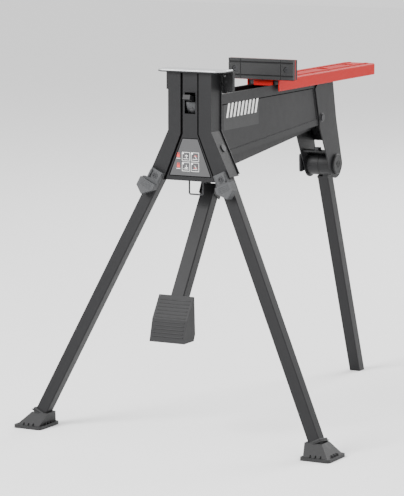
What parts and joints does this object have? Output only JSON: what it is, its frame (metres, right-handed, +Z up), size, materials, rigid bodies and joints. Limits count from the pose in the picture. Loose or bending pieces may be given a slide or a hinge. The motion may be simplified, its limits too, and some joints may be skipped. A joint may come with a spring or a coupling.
{
  "type": "folding clamping sawhorse",
  "caption": "Folding workshop sawhorse with a pedal-operated clamp: a sheet-steel head on splayed front legs, a deep beam, a red sliding jaw arm and a folding rear leg.",
  "frame": {"origin": "on the floor, at the middle of the footprint", "axes": "+Z up, the head face with the lock lever looks along -Y, the beam runs along +Y, +X is the side with the round hip cap"},
  "size_m": [0.8406, 1.0746, 0.87],
  "materials": {
    "black_powder_coat": "satin fine-textured powder coat",
    "red_powder_coat": "satin powder coat",
    "silver_plate": "bare brushed plate, satin",
    "black_jaw_plastic": "fine moulded texture",
    "grey_latch_plastic": "coarse moulded texture",
    "foot_plastic": "fine moulded texture",
    "zinc_fastener": "zinc plated",
    "black_fastener": "black oxide",
    "slide_plastic": "smooth nylon",
    "clutch_steel": "hardened steel"
  },
  "bodies": {
    "frame": {"bail_bracket": "black_powder_coat", "beam_shell": "black_powder_coat", "beam_slide_pads": "slide_plastic", "belly_rail": "black_powder_coat", "bracket_bolts": "black_fastener", "carriage_rails": "black_powder_coat", "fixed_jaw_pad": "black_jaw_plastic", "fixed_jaw_plate": "black_powder_coat", "fixed_jaw_screws": "black_fastener", "head_front_shell": "black_powder_coat", "head_rear_shell": "black_powder_coat", "head_top_flange": "black_powder_coat", "hip_bolt": "black_fastener", "hip_cap": "black_jaw_plastic", "index_drum": "black_powder_coat", "leg_hinge_cheek_left": "black_powder_coat", "leg_hinge_cheek_right": "black_powder_coat", "leg_hinge_pin_left": "black_fastener", "leg_hinge_pin_right": "black_fastener", "lever_bracket": "black_powder_coat", "lock_lever_pin": "black_fastener", "pedal_pivot_pin": "black_fastener", "rear_bracket": "black_powder_coat", "rear_stop_bolt": "black_fastener", "rear_stop_plate": "black_powder_coat", "top_plate": "silver_plate"},
    "jaw": {"moving_jaw_pad": "black_jaw_plastic", "moving_jaw_screws": "black_fastener", "moving_jaw_plate": "red_powder_coat", "moving_jaw_backing": "black_powder_coat", "jaw_gussets": "red_powder_coat", "sliding_arm": "red_powder_coat", "drive_bar": "clutch_steel", "arm_front_shoes": "slide_plastic"},
    "clutch": {"clutch_carriage": "clutch_steel", "clutch_plates": "clutch_steel"},
    "lock_lever": {"lock_lever": "black_powder_coat"},
    "front_leg_right": {"front_leg_tube_right": "black_powder_coat", "front_foot_right": "foot_plastic"},
    "front_leg_left": {"front_leg_tube_left": "black_powder_coat", "front_foot_left": "foot_plastic"},
    "leg_latch_right": {"leg_latch_right": "grey_latch_plastic", "latch_screw_right": "black_fastener"},
    "leg_latch_left": {"leg_latch_left": "grey_latch_plastic", "latch_screw_left": "black_fastener"},
    "rear_leg": {"rear_leg_head": "black_powder_coat", "rear_leg_tube": "black_powder_coat", "rear_leg_end_cap": "foot_plastic"},
    "hip_lever": {"hip_lock_lever": "black_powder_coat"},
    "stop_pin": {"arm_stop_pin": "black_fastener"},
    "pedal": {"pedal_bracket": "black_powder_coat", "pedal_spool": "black_powder_coat", "pedal_arm": "black_powder_coat", "pedal_tread": "black_powder_coat", "clutch_link_rod": "black_fastener"},
    "bail": {"wire_bail": "black_fastener"}
  },
  "joints": [
    {"name": "jaw_slide", "type": "slide", "parent": "frame", "child": "jaw", "axis": [0, 1, 0], "range_m": [-0.302, 0.145]},
    {"name": "pedal_swing", "type": "hinge", "parent": "frame", "child": "pedal", "pos_m": [0, -0.25794, 0.635], "axis": [1, 0, 0], "range_deg": [0, 18], "stiffness_Nm_per_rad": 9, "springref_deg": -40.11},
    {"name": "clutch_feed", "type": "slide", "parent": "frame", "child": "clutch", "axis": [0, -1, 0], "range_m": [0, 0.0125]},
    {"name": "lock_lever_rock", "type": "hinge", "parent": "frame", "child": "lock_lever", "pos_m": [0, -0.38593, 0.792], "axis": [1, 0, 0], "range_deg": [0, 34]},
    {"name": "front_leg_fold_right", "type": "hinge", "parent": "frame", "child": "front_leg_right", "pos_m": [0.058, -0.39743, 0.68], "axis": [0.9026, 0, 0.4305], "range_deg": [0, 90]},
    {"name": "front_leg_fold_left", "type": "hinge", "parent": "frame", "child": "front_leg_left", "pos_m": [-0.058, -0.39743, 0.68], "axis": [0.9026, 0, -0.4305], "range_deg": [0, 90]},
    {"name": "leg_latch_slide_right", "type": "slide", "parent": "front_leg_right", "child": "leg_latch_right", "axis": [0.4272, -0.1243, -0.8956], "range_m": [0, 0.01], "stiffness_N_per_m": 300, "springref_m": -0.01},
    {"name": "leg_latch_slide_left", "type": "slide", "parent": "front_leg_left", "child": "leg_latch_left", "axis": [-0.4272, -0.1243, -0.8956], "range_m": [0, 0.01], "stiffness_N_per_m": 300, "springref_m": -0.01},
    {"name": "rear_leg_fold", "type": "hinge", "parent": "frame", "child": "rear_leg", "pos_m": [0, 0.30206, 0.577], "axis": [-1, 0, 0], "range_deg": [0, 98]},
    {"name": "hip_lever_turn", "type": "hinge", "parent": "frame", "child": "hip_lever", "pos_m": [0, 0.30206, 0.577], "axis": [1, 0, 0], "range_deg": [0, 35]},
    {"name": "stop_pin_pull", "type": "slide", "parent": "frame", "child": "stop_pin", "axis": [0, 1, 0], "range_m": [0, 0.006], "stiffness_N_per_m": 400, "springref_m": -0.004},
    {"name": "bail_swing", "type": "hinge", "parent": "frame", "child": "bail", "pos_m": [0, -0.38893, 0.616], "axis": [1, 0, 0], "range_deg": [-50, 40]}
  ],
  "couplings": [
    {"joint": "clutch_feed", "follows": "pedal_swing", "m_per_rad": 0.038197}
  ]
}
